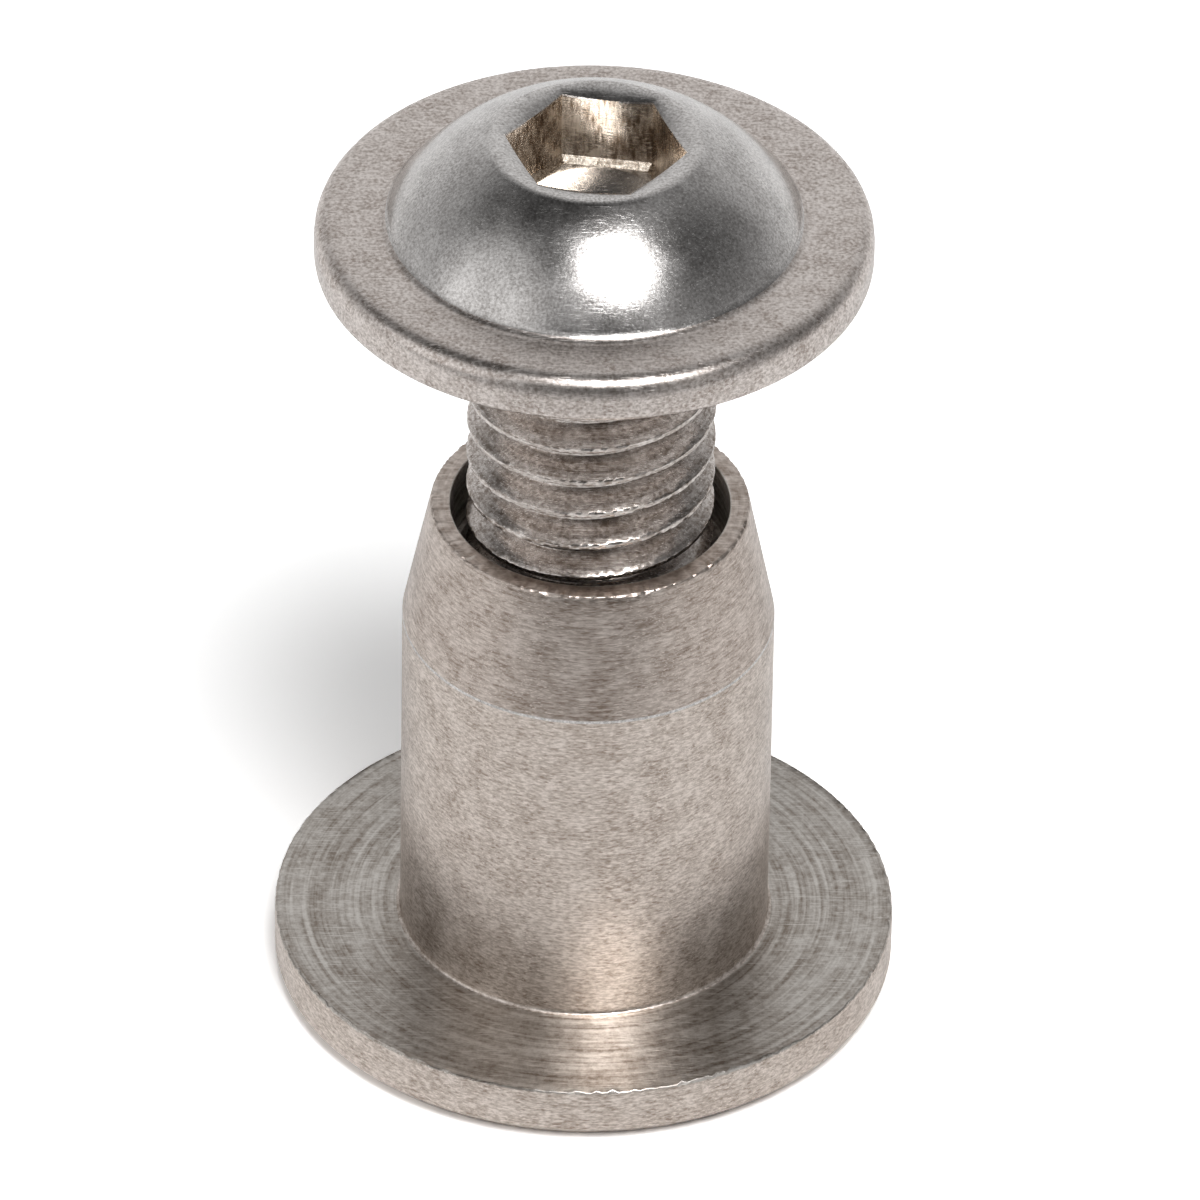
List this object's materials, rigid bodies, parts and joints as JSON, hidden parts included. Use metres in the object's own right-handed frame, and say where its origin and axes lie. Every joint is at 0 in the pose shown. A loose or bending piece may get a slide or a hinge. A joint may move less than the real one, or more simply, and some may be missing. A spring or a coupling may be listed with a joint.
{
  "type": "binding barrel screw",
  "caption": "Two-piece binding fastener: a flanged, taper-mouthed barrel with a blind bore, and a flanged button-head screw with a hexagon socket that runs down into it.",
  "frame": {"origin": "centre of the barrel flange's lower face, on which the fastener stands", "axes": "+Z along the common axis of barrel and screw, from the barrel's flange up to the screw's head; +X and +Y are square to it, with two corners of the foot's key socket on the X axis"},
  "size_m": [0.02, 0.02, 0.0321],
  "materials": {
    "barrel_steel": "turned stainless steel, tumbled satin",
    "screw_steel": "cold-headed stainless steel, bright satin, rolled thread"
  },
  "bodies": {
    "barrel": {"barrel_nut": "barrel_steel"},
    "screw": {"flange_screw": "screw_steel"}
  },
  "joints": [
    {"name": "screw_travel", "type": "slide", "parent": "barrel", "child": "screw", "axis": [0, 0, 1], "range_m": [-0.0095, 0.004]}
  ]
}
